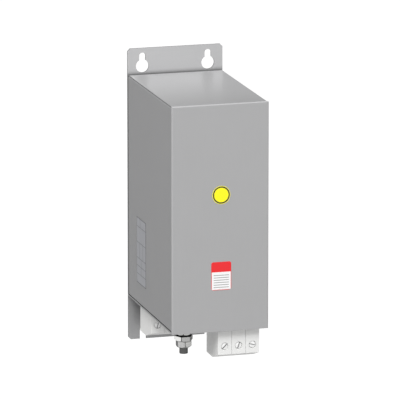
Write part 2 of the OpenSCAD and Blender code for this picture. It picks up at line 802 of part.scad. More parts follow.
module choke_stud() {
    color("darkgray") translate([0, plate_front, choke_z]) rotate([90, 0, 0])
        cylinder(r = choke_stud_r, h = plate_front - clamp_y + clamp_t + choke_nut_h + choke_stud_r);
}

module choke_clamp() {
    color("silver") translate([0, clamp_y, choke_z]) rotate([90, 0, 0]) difference() {
        translate([-clamp_w / 2, -clamp_w / 2, 0]) cube([clamp_w, clamp_w, clamp_t]);
        translate([0, 0, -over]) cylinder(r = choke_stud_r + slide_clear, h = clamp_t + 2 * over);
    }
}

module choke_nut() {
    color("darkgray") translate([0, clamp_y - clamp_t, choke_z]) rotate([90, 0, 0]) difference() {
        cylinder(r = choke_stud_d, h = choke_nut_h, $fn = 6);
        translate([0, 0, -over]) cylinder(r = choke_stud_r + turn_clear, h = choke_nut_h + 2 * over);
    }
}

// Places a child at the board's four corners, on the back plate
module at_board_corners() {
    for (side = [-1, 1], z = [board_z0 + board_edge, board_z1 - board_edge])
        translate([side * standoff_x, plate_front, z]) rotate([90, 0, 0]) children();
}

module capacitor_board() {
    color("darkgreen") difference() {
        translate([-board_w / 2, board_front, board_z0]) cube([board_w, board_t, board_h]);
        at_board_corners() cylinder(r = board_screw_r + seat_clear, h = standoff_h + board_t + over);
    }
}

module board_standoffs() {
    color("gold") at_board_corners() difference() {
        cylinder(r = standoff_r, h = standoff_h, $fn = 6);
        translate([0, 0, standoff_h / 2]) cylinder(r = board_screw_r + turn_clear, h = standoff_h);
    }
}

module board_screws() {
    color("silver") at_board_corners() translate([0, 0, standoff_h / 2]) {
        cylinder(r = board_screw_r, h = standoff_h / 2 + board_t);
        translate([0, 0, standoff_h / 2 + board_t]) cylinder(r = board_screw_r * 2, h = board_screw_h);
    }
}

module x_capacitors() {
    color("gold") for (i = [-1:1], z = xcap_rows)
        translate([i * xcap_pitch - xcap_w / 2, board_front - xcap_d, z]) cube([xcap_w, xcap_d, xcap_h]);
}

module y_capacitors() {
    color("steelblue") for (i = [-1:1])
        translate([i * ycap_pitch - ycap_w / 2, board_front - ycap_d, ycap_z]) cube([ycap_w, ycap_d, ycap_h]);
}

// Discharge resistors, each lying on the board on its two bent leads
module discharge_resistors() {
    leg_r = resistor_d / 8;
    color("burlywood") for (i = [-1:1])
        translate([i * xcap_pitch, board_front - resistor_d, resistor_z]) {
            rotate([0, 90, 0]) cylinder(d = resistor_d, h = resistor_l, center = true);
            for (side = [-1, 1]) {
                translate([side * resistor_l / 2, 0, 0]) rotate([0, side * 90, 0]) cylinder(r = leg_r, h = resistor_d / 2);
                translate([side * (resistor_l + resistor_d) / 2, 0, 0]) sphere(r = leg_r, $fn = 24);
                translate([side * (resistor_l + resistor_d) / 2, 0, 0]) rotate([-90, 0, 0])
                    cylinder(r = leg_r, h = resistor_d);
            }
        }
}

// A round lead along straight runs that follow the axes, rounded at its corners
module lead(points) {
    for (i = [0:len(points) - 2]) {
        d = points[i + 1] - points[i];
        l = norm(d);
        translate(points[i]) rotate([0, acos(d[2] / l), atan2(d[1], d[0])]) cylinder(r = lead_r, h = l, $fn = 32);
        if (i > 0) translate(points[i]) sphere(r = lead_r, $fn = 32);
    }
}

// Leads from a block's bars up to the lower ends of a choke's windings
module bar_leads(b, y0, y1, z0) {
    for (k = [0:poles - 1]) {
        x0 = pole_x(b, k);
        x1 = end_x(k);
        z1 = end_z(k);
        zc = z0 + k * cross_step;
        zr = z1 - 2 * lead_r;
        run = b == 0 ? [[x1, y0, zc], [x1, y1, zc]] : [[x1, y0, zc], [x1, y0, zr], [x1, y1, zr]];
        lead(concat([[x0, y0, lead_z], [x0, y0, zc]], run, [[x1, y1, z1]]));
    }
}

module line_leads() { color("saddlebrown") bar_leads(1, line_lead_y, rear_choke_y, cross_z); }
module load_leads() { color("black") bar_leads(0, load_lead_y, front_choke_y, cross_z); }

// Three short links between the rear and the front windings
module link_leads() {
    color("peru") translate([0, rear_choke_y - choke_half, choke_z]) rotate([90, 0, 0])
        for (a = link_ends) rotate([0, 0, a]) translate([wind_r + wire_t / 2, 0, 0])
            cylinder(d = wire_w, h = pad_t);
}

module round_sticker() {
    color("yellow") translate([front_sticker_x, case_front, case_top - round_drop - round_d / 2])
        rotate([90, 0, 0]) cylinder(d = round_d, h = sticker_t);
}

module rounded_outline(w, h, r) {
    translate([-w / 2 + r, 0]) square([w - 2 * r, h]);
    translate([-w / 2, r]) square([w, h - 2 * r]);
    for (sx = [-1, 1], z = [r, h - r]) translate([sx * (w / 2 - r), z]) circle(r = r);
}

module notice_sticker() {
    color("white") translate([front_sticker_x, case_front, case_top - notice_drop - notice_h])
        rotate([90, 0, 0]) linear_extrude(height = sticker_t) rounded_outline(notice_w, notice_h, notice_r);
}

module rating_sticker() {
    color("lightgray") translate([-plate_w / 2 - sticker_t, case_front + rating_set_back, case_bottom + rating_up])
        cube([sticker_t, rating_d, rating_h]);
}

back_plate();
wrapper();
front_panel();
bottom_tray();
spacer_strips();
corner_angles();
cover_screws();
press_nuts();
plate_rivets();
insulation_sheet();
load_housing_1();
load_housing_2();
load_housing_3();
line_housing_1();
line_housing_2();
line_housing_3();
load_cage_1();
load_cage_2();
load_cage_3();
line_cage_1();
line_cage_2();
line_cage_3();
load_screw_1();
load_screw_2();
load_screw_3();
line_screw_1();
line_screw_2();
line_screw_3();
load_bars();
line_bars();
earth_stud();
earth_washer();
earth_upper_nut();
lock_washer();
earth_collar();
earth_nut();
rear_core();
front_core();
rear_windings();
front_windings();
rear_divider();
front_divider();
choke_pads();
choke_stud();
choke_clamp();
choke_nut();
capacitor_board();
board_standoffs();
board_screws();
x_capacitors();
y_capacitors();
discharge_resistors();
line_leads();
load_leads();
link_leads();
round_sticker();
notice_sticker();
rating_sticker();
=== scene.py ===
"""Finish and light for a three-phase line filter, laid over its packed solids."""

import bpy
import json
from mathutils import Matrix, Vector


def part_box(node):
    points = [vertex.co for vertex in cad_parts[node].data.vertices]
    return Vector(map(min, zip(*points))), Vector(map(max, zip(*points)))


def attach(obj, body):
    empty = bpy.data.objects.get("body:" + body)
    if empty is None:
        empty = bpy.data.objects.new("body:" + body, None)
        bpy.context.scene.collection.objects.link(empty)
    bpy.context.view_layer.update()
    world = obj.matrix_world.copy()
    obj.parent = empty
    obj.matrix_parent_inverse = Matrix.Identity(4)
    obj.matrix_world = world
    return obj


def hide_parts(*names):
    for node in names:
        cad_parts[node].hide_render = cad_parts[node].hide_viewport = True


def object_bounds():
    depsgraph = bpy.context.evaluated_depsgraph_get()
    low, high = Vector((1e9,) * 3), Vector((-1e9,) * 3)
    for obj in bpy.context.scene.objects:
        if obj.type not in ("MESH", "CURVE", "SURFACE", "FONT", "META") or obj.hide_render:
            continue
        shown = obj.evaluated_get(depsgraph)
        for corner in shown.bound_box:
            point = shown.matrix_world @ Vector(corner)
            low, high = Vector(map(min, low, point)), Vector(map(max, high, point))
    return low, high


bl_info = {
    "name": "Three-phase line filter",
    "version": (1, 0, 0),
    "blender": (4, 5, 0),
    "location": "View3D > Sidebar > Line filter",
    "description": "Finishes the packed solids of a three-phase line filter and lights them",
    "category": "Object",
}

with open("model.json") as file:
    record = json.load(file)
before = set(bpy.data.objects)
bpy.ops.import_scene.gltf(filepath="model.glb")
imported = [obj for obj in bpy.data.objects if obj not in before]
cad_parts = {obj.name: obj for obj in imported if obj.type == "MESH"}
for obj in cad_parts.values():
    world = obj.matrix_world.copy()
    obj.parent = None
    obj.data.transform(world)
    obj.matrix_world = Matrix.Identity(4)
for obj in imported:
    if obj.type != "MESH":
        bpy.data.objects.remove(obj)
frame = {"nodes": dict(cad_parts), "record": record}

import json
import math

import bmesh
import bpy
from bpy.props import FloatProperty, FloatVectorProperty, IntProperty, PointerProperty
from mathutils import Matrix, Vector

CAD_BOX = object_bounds()
NODES = frame["nodes"]
RECORD = frame["record"]
BODY_OF = {node: body for body, members in RECORD["behaviour"]["bodies"].items() for node in members}
POLES = (1, 2, 3)
SIDES = ("load", "line")

# Directions and small lengths, in metres
MM = 0.001
FRONTWARD = Vector((0, -1, 0))
UPWARD = Vector((0, 0, 1))
MERGE_DISTANCE = 0.002 * MM
FLAT_ANGLE = math.radians(0.5)
SHARP_ANGLE = math.radians(32)
SMOOTH_ANGLE = math.radians(50)


# Settings

class SheetSettings(bpy.types.PropertyGroup):
    """Folded sheet of the case"""
    colour: FloatVectorProperty(
        name="Sheet colour", description="Colour of the bare metal sheet",
        subtype="COLOR", size=3, min=0, max=1, default=(0.47, 0.47, 0.475))
    roughness: FloatProperty(
        name="Roughness", description="How blurred the sheet's reflections are",
        subtype="FACTOR", min=0.05, max=1, default=0.34)
    metallic: FloatProperty(
        name="Metallic", description="Share of the sheet that reflects as metal",
        subtype="FACTOR", min=0, max=1, default=0.45)
    edge: FloatProperty(
        name="Edge easing", description="Width of the eased edges of the cut sheet",
        subtype="DISTANCE", unit="LENGTH", min=0.05 * MM, max=0.4 * MM, default=0.08 * MM)
    # The fold line is painted shade along the wrapper's top edges
    fold: FloatProperty(
        name="Fold", description="Width of the dull line along a sharp fold",
        subtype="DISTANCE", unit="LENGTH", min=0.2 * MM, max=2 * MM, default=0.9 * MM)


class TerminalSettings(bpy.types.PropertyGroup):
    """Moulded pole housings and their clamp screws"""
    colour: FloatVectorProperty(
        name="Plastic colour", description="Colour of the moulded housings",
        subtype="COLOR", size=3, min=0, max=1, default=(0.8, 0.8, 0.79))
    edge: FloatProperty(
        name="Mould radius", description="Width of the rounded edges of a housing",
        subtype="DISTANCE", unit="LENGTH", min=0.1 * MM, max=0.6 * MM, default=0.2 * MM)
    dome: FloatProperty(
        name="Head dome", description="Height of the dome on a clamp screw's head",
        subtype="DISTANCE", unit="LENGTH", min=0.1 * MM, max=0.8 * MM, default=0.5 * MM)
    slot_width: FloatProperty(
        name="Slot width", description="Width of the driver slot in a clamp screw",
        subtype="DISTANCE", unit="LENGTH", min=0.6 * MM, max=1.2 * MM, default=0.9 * MM)
    slot_depth: FloatProperty(
        name="Slot depth", description="Depth of the driver slot in a clamp screw",
        subtype="DISTANCE", unit="LENGTH", min=0.6 * MM, max=1.6 * MM, default=1.1 * MM)


class EarthSettings(bpy.types.PropertyGroup):
    """Earth stud with its nuts and washers"""
    pitch: FloatProperty(
        name="Thread pitch", description="Rise of the stud's thread in one turn",
        subtype="DISTANCE", unit="LENGTH", min=0.8 * MM, max=1.5 * MM, default=1.25 * MM)
    crest: FloatProperty(
        name="Crest radius", description="Outer radius of the stud's thread",
        subtype="DISTANCE", unit="LENGTH", min=3.4 * MM, max=3.98 * MM, default=3.96 * MM)
    depth: FloatProperty(
        name="Thread depth", description="Depth of the stud's thread",
        subtype="DISTANCE", unit="LENGTH", min=0.1 * MM, max=0.8 * MM, default=0.22 * MM)
    edge: FloatProperty(
        name="Nut easing", description="Width of the eased edges of the nuts and washers",
        subtype="DISTANCE", unit="LENGTH", min=0.05 * MM, max=0.4 * MM, default=0.3 * MM)


class StickerSettings(bpy.types.PropertyGroup):
    """The three plain stickers"""
    yellow: FloatVectorProperty(
        name="Round sticker", description="Colour of the round sticker",
        subtype="COLOR", size=3, min=0, max=1, default=(0.95, 0.87, 0.01))
    red: FloatVectorProperty(
        name="Header", description="Colour of the band and outline on the white sticker",
        subtype="COLOR", size=3, min=0, max=1, default=(0.78, 0.02, 0.025))
    silver: FloatVectorProperty(
        name="Silver film", description="Colour of the sticker on the side wall",
        subtype="COLOR", size=3, min=0, max=1, default=(0.345, 0.35, 0.37))
    header_height: FloatProperty(
        name="Header height", description="Height of the band on the white sticker",
        subtype="DISTANCE", unit="LENGTH", min=4 * MM, max=12 * MM, default=9.3 * MM)
    rules: IntProperty(
        name="Rules", description="Number of thin lines ruled on the white sticker",
        min=2, max=10, default=6)


class InnerSettings(bpy.types.PropertyGroup):
    """Chokes, board and leads inside the case"""
    copper: FloatVectorProperty(
        name="Winding colour", description="Colour of the enamelled wire",
        subtype="COLOR", size=3, min=0, max=1, default=(0.62, 0.24, 0.08))
    board: FloatVectorProperty(
        name="Board colour", description="Colour of the board's lacquer",
        subtype="COLOR", size=3, min=0, max=1, default=(0.03, 0.16, 0.06))
    edge: FloatProperty(
        name="Component easing", description="Width of the rounded edges of moulded components",
        subtype="DISTANCE", unit="LENGTH", min=0.1 * MM, max=1 * MM, default=0.6 * MM)


class StageSettings(bpy.types.PropertyGroup):
    """Camera, lamps and floor"""
    azimuth: FloatProperty(
        name="Azimuth", description="Camera's angle to the left of the front",
        subtype="ANGLE", unit="ROTATION", default=math.radians(15.9798))
    elevation: FloatProperty(
        name="Elevation", description="Camera's angle above the horizon",
        subtype="ANGLE", unit="ROTATION", default=math.radians(13.0184))
    distance: FloatProperty(
        name="Distance", description="From the camera to the point it looks at",
        subtype="DISTANCE", unit="LENGTH", min=1, max=10, default=4.7753)
    target: FloatVectorProperty(
        name="Target", description="Point that the camera looks at",
        subtype="TRANSLATION", unit="LENGTH", size=3, default=(0.024046, 0, -0.009372))
    lens: FloatProperty(
        name="Lens", description="Focal length in millimetres",
        min=50, max=800, default=467.33)
    fill: FloatProperty(
        name="Fill", description="Strength of the even light from all round",
        min=0, max=2, default=0.85)
    floor_drop: FloatProperty(
        name="Floor drop", description="How far the floor lies below the wall plate",
        subtype="DISTANCE", unit="LENGTH", min=0.2, max=3, default=1.3)


GROUPS = {
    "filter_sheet": SheetSettings,
    "filter_terminal": TerminalSettings,
    "filter_earth": EarthSettings,
    "filter_sticker": StickerSettings,
    "filter_inner": InnerSettings,
    "filter_stage": StageSettings,
}


def settings(name):
    """The scene's settings of one group."""
    return getattr(bpy.context.scene, name)


# Painted shade on the case's sheet, as shares of its colour: in a sharp fold, on a cut edge and inside the
# tray
FOLD_PAINTED_SHADE = 0.35
CUT_EDGE_PAINTED_SHADE = 0.42
TRAY_PAINTED_SHADOW = 0.04
# Painted shade and light on the back plate's front: shade at its foot and behind the case, a contact shadow
# that turns to light with the height above the case, light at its top, and how far in front of its rear face
# they begin
PLATE_FOOT_PAINTED_SHADE = 0.84
PLATE_FOOT_HEIGHT = 40 * MM
PLATE_HIDDEN_PAINTED_SHADE = 0.62
PLATE_PAINTED_CONTACT_SHADOW = ((0, 0.62), (1.2 * MM, 0.9), (3.5 * MM, 1.18))
PLATE_TOP_PAINTED_LIGHT = 1.2
PLATE_FRONT = 0.5 * MM
# Painted shade and light on the case's top by the share of the depth, from the front to the plate
CROWN_PAINTED_LIGHT = ((1, 0.88), (0.6, 1.03), (0, 1.13))
# Width of the front panel's eased edges
PANEL_EDGE = 0.05 * MM
# Half the width and the darkness of the painted shade lines along a nut's corners, as shares of a side and
# of the colour
CORNER_SHARE = 0.05
CORNER_PAINTED_SHADE = 0.25
# Rim of the round sticker by the share of its radius, and a rule's share of the room between two rules
RIM_SHARES = (0.8, 0.95)
RULE_SHARE = 0.3
# Lines of the silver sticker by the share of its height, and its uprights, each by the share of its width
# and the two shares of its height between which it stands
SILVER_LINE_SHARES = (0.14, 0.26, 0.38, 0.62, 0.86)
SILVER_UPRIGHT_SHARES = ((0.5, 0.14, 0.38), (0.33, 0.38, 0.62), (0.67, 0.38, 0.62), (0.6, 0.86, 1))


# Building materials

class Finish:
    """A material wired node by node around one shader."""

    def __init__(self, name, colour=(0.5, 0.5, 0.5), metallic=0.0, roughness=0.5, **sockets):
        self.material = bpy.data.materials.new(name)
        self.material.use_nodes = True
        self.tree = self.material.node_tree
        self.tree.nodes.clear()
        self.shader = self.add("ShaderNodeBsdfPrincipled")
        self.shader.inputs["Base Color"].default_value = (*colour, 1)
        self.shader.inputs["Metallic"].default_value = metallic
        self.shader.inputs["Roughness"].default_value = roughness
        for socket, value in sockets.items():
            self.shader.inputs[socket.replace("_", " ")].default_value = value
        output = self.add("ShaderNodeOutputMaterial")
        self.link(self.shader.outputs["BSDF"], output.inputs["Surface"])
        self.place = self.add("ShaderNodeTexCoord").outputs["Object"]

    def add(self, kind, **values):
        """A new node with its own values set."""
        node = self.tree.nodes.new(kind)
        for key, value in values.items():
            setattr(node, key, value)
        return node

    def link(self, start, end):
        """Wires one socket, or sets one number, on an input."""
        if isinstance(start, (int, float)):
            end.default_value = start
        else:
            self.tree.links.new(start, end)

    def math(self, operation, first, second=0.0):
        """One calculation on sockets or numbers."""
        node = self.add("ShaderNodeMath", operation=operation)
        self.link(first, node.inputs[0])
        self.link(second, node.inputs[1])
        return node.outputs[0]

    def between(self, value, low, high):
        """1 where value lies between low and high, otherwise 0."""
        above = self.math("GREATER_THAN", value, low)
        return self.math("MULTIPLY", above, self.math("LESS_THAN", value, high))

    def noise(self, scale, stretch=(1, 1, 1), detail=3.0):
        """Fine random variation, stretched along the axes."""
        mapping = self.add("ShaderNodeMapping")
        mapping.inputs["Scale"].default_value = stretch
        self.link(self.place, mapping.inputs["Vector"])
        node = self.add("ShaderNodeTexNoise")
        node.inputs["Scale"].default_value = scale
        node.inputs["Detail"].default_value = detail
        self.link(mapping.outputs["Vector"], node.inputs["Vector"])
        return node.outputs["Fac"]

    def blend(self, share, first, second):
        """First colour where share is 0 and second where it is 1."""
        node = self.add("ShaderNodeMix", data_type="RGBA")
        colours = [socket for socket in node.inputs if socket.type == "RGBA"]
        self.link(share, node.inputs[0])
        for colour, socket in zip((first, second), colours):
            if isinstance(colour, tuple):
                socket.default_value = (*colour, 1)
            else:
                self.tree.links.new(colour, socket)
        return next(socket for socket in node.outputs if socket.type == "RGBA")

    def vary(self, share, colour, spread):
        """A colour that grows darker and lighter with share."""
        return self.blend(share, shade(colour, 1 - spread), shade(colour, 1 + spread))

    def graded(self, value, painted_light_pairs, colour):
        """A colour multiplied by shades that change evenly between (value, shade) pairs."""
        ramp = self.add("ShaderNodeValToRGB")
        low, high = painted_light_pairs[0][0], painted_light_pairs[-1][0]
        place = self.math("DIVIDE", self.math("SUBTRACT", value, low), high - low)
        self.link(place, ramp.inputs["Fac"])
        stops = ramp.color_ramp.elements
        inner = [stops.new((level - low) / (high - low)) for level, _ in painted_light_pairs[1:-1]]
        for stop, (_, factor) in zip([stops[0], *inner, stops[-1]], painted_light_pairs):
            stop.color = (factor, factor, factor, 1)
        node = self.add("ShaderNodeMix", data_type="RGBA", blend_type="MULTIPLY")
        colours = [socket for socket in node.inputs if socket.type == "RGBA"]
        node.inputs[0].default_value = 1
        self.tree.links.new(colour, colours[0])
        self.tree.links.new(ramp.outputs["Color"], colours[1])
        return next(socket for socket in node.outputs if socket.type == "RGBA")

    def paint(self, colour):
        """Gives the shader its colour."""
        self.link(colour, self.shader.inputs["Base Color"])

    def gloss(self, share, low, high):
        """Roughness from low to high with share."""
        node = self.add("ShaderNodeMapRange")
        self.link(share, node.inputs["Value"])
        node.inputs["To Min"].default_value = low
        node.inputs["To Max"].default_value = high
        self.link(node.outputs["Result"], self.shader.inputs["Roughness"])

    def relief(self, height, strength, depth):
        """Fine bumps of a given depth in metres."""
        node = self.add("ShaderNodeBump")
        node.inputs["Strength"].default_value = strength
        node.inputs["Distance"].default_value = depth
        self.link(height, node.inputs["Height"])
        self.link(node.outputs["Normal"], self.shader.inputs["Normal"])


def shade(colour, factor):
    """A colour made darker or lighter."""
    return tuple(min(1.0, channel * factor) for channel in colour)


def rolled_sheet(name, colour, metallic, roughness, fold=None, painted_light_pairs=None, painted_crown_light=None):
    """Metal sheet with fine rolling marks along Z and a faint cloudiness.

    Painted light pairs are (height, shade) pairs of painted shade and light on its front. A fold is the
    reach to the side and the height past which a bent corner gets a painted shade line, and a painted crown
    light holds (depth, shade) pairs of painted light for what lies above that height.
    """
    finish = Finish(name, colour, metallic, roughness)
    marks = finish.noise(1400, stretch=(1, 1, 0.03), detail=4)
    clouds = finish.noise(38, detail=2)
    share = finish.math("ADD", finish.math("MULTIPLY", marks, 0.6), finish.math("MULTIPLY", clouds, 0.4))
    tone = finish.vary(share, colour, 0.035)
    axes = finish.add("ShaderNodeSeparateXYZ")
    finish.link(finish.place, axes.inputs[0])
    # Painted shade and light on the plate's front, graded by height
    if painted_light_pairs:
        front = finish.math("LESS_THAN", axes.outputs["Y"], -PLATE_FRONT)
        tone = finish.blend(front, tone, finish.graded(axes.outputs["Z"], painted_light_pairs, tone))
    if fold:
        beside = finish.math("GREATER_THAN", finish.math("ABSOLUTE", axes.outputs["X"]), fold[0])
        above = finish.math("GREATER_THAN", axes.outputs["Z"], fold[1])
        # Painted light over the top, growing lighter towards the plate
        tone = finish.blend(above, tone, finish.graded(axes.outputs["Y"], painted_crown_light, tone))
        # Painted shade: a dark line where a top fold meets a side
        tone = finish.blend(finish.math("MULTIPLY", beside, above), tone, shade(colour, FOLD_PAINTED_SHADE))
    finish.paint(tone)
    finish.gloss(marks, roughness - 0.04, roughness + 0.04)
    finish.relief(marks, 0.04, 0.02 * MM)
    return finish.material


def bright_steel(name, colour, roughness, grain=900, stretch=(1, 1, 1), metallic=1.0):
    """Plated or turned steel with fine tool marks."""
    finish = Finish(name, colour, metallic, roughness)
    marks = finish.noise(grain, stretch, detail=4)
    stains = finish.noise(220, detail=2)
    share = finish.math("ADD", finish.math("MULTIPLY", marks, 0.5), finish.math("MULTIPLY", stains, 0.5))
    finish.paint(finish.vary(share, colour, 0.09))
    finish.gloss(stains, roughness - 0.06, roughness + 0.08)
    finish.relief(marks, 0.12, 0.03 * MM)
    return finish.material


def hexagon_steel(name, colour, roughness, centre, first):
    """Bright steel of a hexagon round a centre, with painted shade lines along its corners, the first of
    them at an angle.
    """
    finish = Finish(name, colour, 1.0, roughness)
    marks = finish.noise(1100, detail=4)
    stains = finish.noise(220, detail=2)
    axes = finish.add("ShaderNodeSeparateXYZ")
    finish.link(finish.place, axes.inputs[0])
    angle = finish.math("ARCTAN2", finish.math("SUBTRACT", axes.outputs["Y"], centre.y),
                        finish.math("SUBTRACT", axes.outputs["X"], centre.x))
    turned = finish.math("DIVIDE", finish.math("SUBTRACT", angle, math.radians(first)), math.pi / 3)
    # Six whole sides and a half keep the sum above zero and put a corner where the fraction is a half
    along = finish.math("FRACT", finish.math("ADD", turned, 6.5))
    offset = finish.math("ABSOLUTE", finish.math("SUBTRACT", along, 0.5))
    tone = finish.vary(finish.math("MULTIPLY", finish.math("ADD", marks, stains), 0.5), colour, 0.09)
    # Painted shade: a dark line along each corner of the hexagon
    corner = finish.math("LESS_THAN", offset, CORNER_SHARE)
    finish.paint(finish.blend(corner, tone, shade(colour, CORNER_PAINTED_SHADE)))
    finish.gloss(stains, roughness - 0.06, roughness + 0.08)
    finish.relief(marks, 0.12, 0.03 * MM)
    return finish.material


def moulded_plastic(name, colour, roughness, grain=1600, cloud=0.02):
    """Injection-moulded plastic with a fine spark-eroded grain."""
    finish = Finish(name, colour, 0.0, roughness)
    pores = finish.noise(grain, detail=5)
    clouds = finish.noise(90, detail=2)
    finish.paint(finish.vary(clouds, colour, cloud))
    finish.gloss(pores, roughness - 0.05, roughness + 0.05)
    finish.relief(pores, 0.1, 0.03 * MM)
    return finish.material


def enamelled_wire(name, colour):
    """Copper under a thin glossy enamel."""
    finish = Finish(name, colour, 0.7, 0.3, Coat_Weight=0.6, Coat_Roughness=0.12)
    tint = finish.noise(160, detail=3)
    finish.paint(finish.blend(tint, shade(colour, 0.8), shade(colour, 1.25)))
    finish.relief(finish.noise(700, detail=3), 0.15, 0.04 * MM)
    return finish.material


def printed_board(name, colour):
    """Board lacquer over straight copper tracks."""
    finish = Finish(name, colour, 0.0, 0.28)
    mapping = finish.add("ShaderNodeMapping")
    mapping.inputs["Rotation"].default_value = (math.pi / 2, 0, 0)
    finish.link(finish.place, mapping.inputs["Vector"])
    tracks = finish.add("ShaderNodeTexBrick", offset=0.35, squash=0.6, squash_frequency=3)
    tracks.inputs["Scale"].default_value = 60
    tracks.inputs["Mortar Size"].default_value = 0.035
    tracks.inputs["Color1"].default_value = (*shade(colour, 0.9), 1)
    tracks.inputs["Color2"].default_value = (*shade(colour, 1.15), 1)
    tracks.inputs["Mortar"].default_value = (*shade(colour, 1.9), 1)
    finish.link(mapping.outputs["Vector"], tracks.inputs["Vector"])
    finish.paint(tracks.outputs["Color"])
    finish.relief(tracks.outputs["Fac"], 0.3, 0.03 * MM)
    return finish.material


def film(name, colour, roughness):
    """Printed film with a faint orange-peel surface; its print is wired by the caller."""
    finish = Finish(name, colour, 0.0, roughness)
    finish.relief(finish.noise(650, detail=3), 0.12, 0.02 * MM)
    return finish


def round_film(name, colour, centre, radius):
    """Plain round sticker with a thin dark rim."""
    finish = film(name, colour, 0.38)
    flat = finish.add("ShaderNodeVectorMath", operation="MULTIPLY")
    flat.inputs[1].default_value = (1, 0, 1)
    finish.link(finish.place, flat.inputs[0])
    reach = finish.add("ShaderNodeVectorMath", operation="DISTANCE")
    finish.link(flat.outputs["Vector"], reach.inputs[0])
    reach.inputs[1].default_value = (centre.x, 0, centre.z)
    rim = finish.between(reach.outputs["Value"], radius * RIM_SHARES[0], radius * RIM_SHARES[1])
    ground = finish.vary(finish.noise(120, detail=2), colour, 0.02)
    finish.paint(finish.blend(rim, ground, (0.03, 0.03, 0.03)))
    return finish.material


def ruled_film(name, ground, ink, low, high, header, rules):
    """White sticker with a coloured band, an outline and evenly ruled thin lines."""
    finish = film(name, ground, 0.36)
    axes = finish.add("ShaderNodeSeparateXYZ")
    finish.link(finish.place, axes.inputs[0])
    x, z = axes.outputs["X"], axes.outputs["Z"]
    line = 0.45 * MM
    margin = 2.2 * MM
    inside = finish.math("MULTIPLY", finish.between(x, low.x + line, high.x - line),
                         finish.between(z, low.z + line, high.z - line))
    band = finish.math("GREATER_THAN", z, high.z - header)
    frame_ink = finish.math("MAXIMUM", band, finish.math("SUBTRACT", 1.0, inside))
    field_low, field_high = low.z + margin, high.z - header - margin / 2
    pitch = (field_high - field_low) / rules
    phase = finish.math("FRACT", finish.math("DIVIDE", finish.math("SUBTRACT", z, field_low), pitch))
    field = finish.math("MULTIPLY", finish.between(x, low.x + margin, high.x - margin),
                        finish.between(z, field_low, field_high))
    ruled = finish.math("MULTIPLY", field, finish.math("LESS_THAN", phase, RULE_SHARE))
    white = finish.vary(finish.noise(140, detail=2), ground, 0.02)
    lined = finish.blend(ruled, white, (0.3, 0.3, 0.3))
    finish.paint(finish.blend(frame_ink, lined, ink))
    return finish.material


def boxed_film(name, ground, low, high):
    """Silver sticker with an outline and three ruled rows of empty boxes."""
    finish = film(name, ground, 0.4)
    axes = finish.add("ShaderNodeSeparateXYZ")
    finish.link(finish.place, axes.inputs[0])
    y, z = axes.outputs["Y"], axes.outputs["Z"]
    line = 0.5 * MM
    inside = finish.math("MULTIPLY", finish.between(y, low.y + line, high.y - line),
                         finish.between(z, low.z + line, high.z - line))
    drawn = finish.math("SUBTRACT", 1.0, inside)
    height, width = high.z - low.z, high.y - low.y
    for share in SILVER_LINE_SHARES:
        level = low.z + height * share
        drawn = finish.math("MAXIMUM", drawn, finish.between(z, level, level + line))
    for share, base, top in SILVER_UPRIGHT_SHARES:
        place = low.y + width * share
        upright = finish.math("MULTIPLY", finish.between(y, place, place + line),
                              finish.between(z, low.z + height * base, low.z + height * top))
        drawn = finish.math("MAXIMUM", drawn, upright)
    silver = finish.vary(finish.noise(90, (1, 1, 0.2), detail=2), ground, 0.04)
    finish.paint(finish.blend(drawn, silver, shade(ground, 0.3)))
    return finish.material


# Shaping pieces

def sharp_edges(shape, angle=SHARP_ANGLE):
    """Edges where two faces meet at more than an angle."""
    return [edge for edge in shape.edges if edge.is_manifold and edge.calc_face_angle() > angle]


def ease(shape, edges, width, segments=2):
    """Rounds edges by a width."""
    bmesh.ops.bevel(shape, geom=edges, offset=width, offset_type="OFFSET", segments=segments,
                    profile=0.5, affect="EDGES", material=-1, clamp_overlap=True)


def merged_copy(node):
    """A solid's mesh with its corners joined and its flat faces whole."""
    shape = bmesh.new()
    shape.from_mesh(NODES[node].data)
    bmesh.ops.remove_doubles(shape, verts=shape.verts, dist=MERGE_DISTANCE)
    bmesh.ops.dissolve_limit(shape, angle_limit=FLAT_ANGLE, verts=shape.verts, edges=shape.edges)
    return shape


def show(shape, name, node, *materials):
    """Turns a shape into a piece that stands for a node and moves with it."""
    mesh = bpy.data.meshes.new(name)
    shape.to_mesh(mesh)
    shape.free()
    mesh.polygons.foreach_set("use_smooth", [True] * len(mesh.polygons))
    mesh.set_sharp_from_angle(angle=SMOOTH_ANGLE)
    for material in materials:
        mesh.materials.append(material)
    piece = bpy.data.objects.new(name, mesh)
    bpy.context.scene.collection.objects.link(piece)
    weights = piece.modifiers.new("Face weights", "WEIGHTED_NORMAL")
    weights.keep_sharp = True
    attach(piece, BODY_OF[node])
    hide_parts(node)
    return piece


def soften(node, width, *materials, segments=2, chosen=None):
    """Shows a node with its sharp edges rounded, and with the second material on the chosen faces."""
    shape = merged_copy(node)
    if chosen:
        for face in shape.faces:
            face.material_index = int(chosen(face))
    ease(shape, sharp_edges(shape), width, segments)
    return show(shape, node + "_eased", node, *materials)


def coat(material, *nodes):
    """Gives nodes a material and leaves their shape."""
    for node in nodes:
        mesh = NODES[node].data
        mesh.materials.clear()
        mesh.materials.append(material)


def looks_up(face):
    """Whether a face points up, as the tray's floor does."""
    return face.normal.z > 0.7


def is_cut_edge(face):
    """Whether a face is an edge of a sheet that lies across Y."""
    return abs(face.normal.y) < 0.3


def slopes_down(face):
    """Whether a face is a chamfer under a nut."""
    return -0.95 < face.normal.z < -0.1


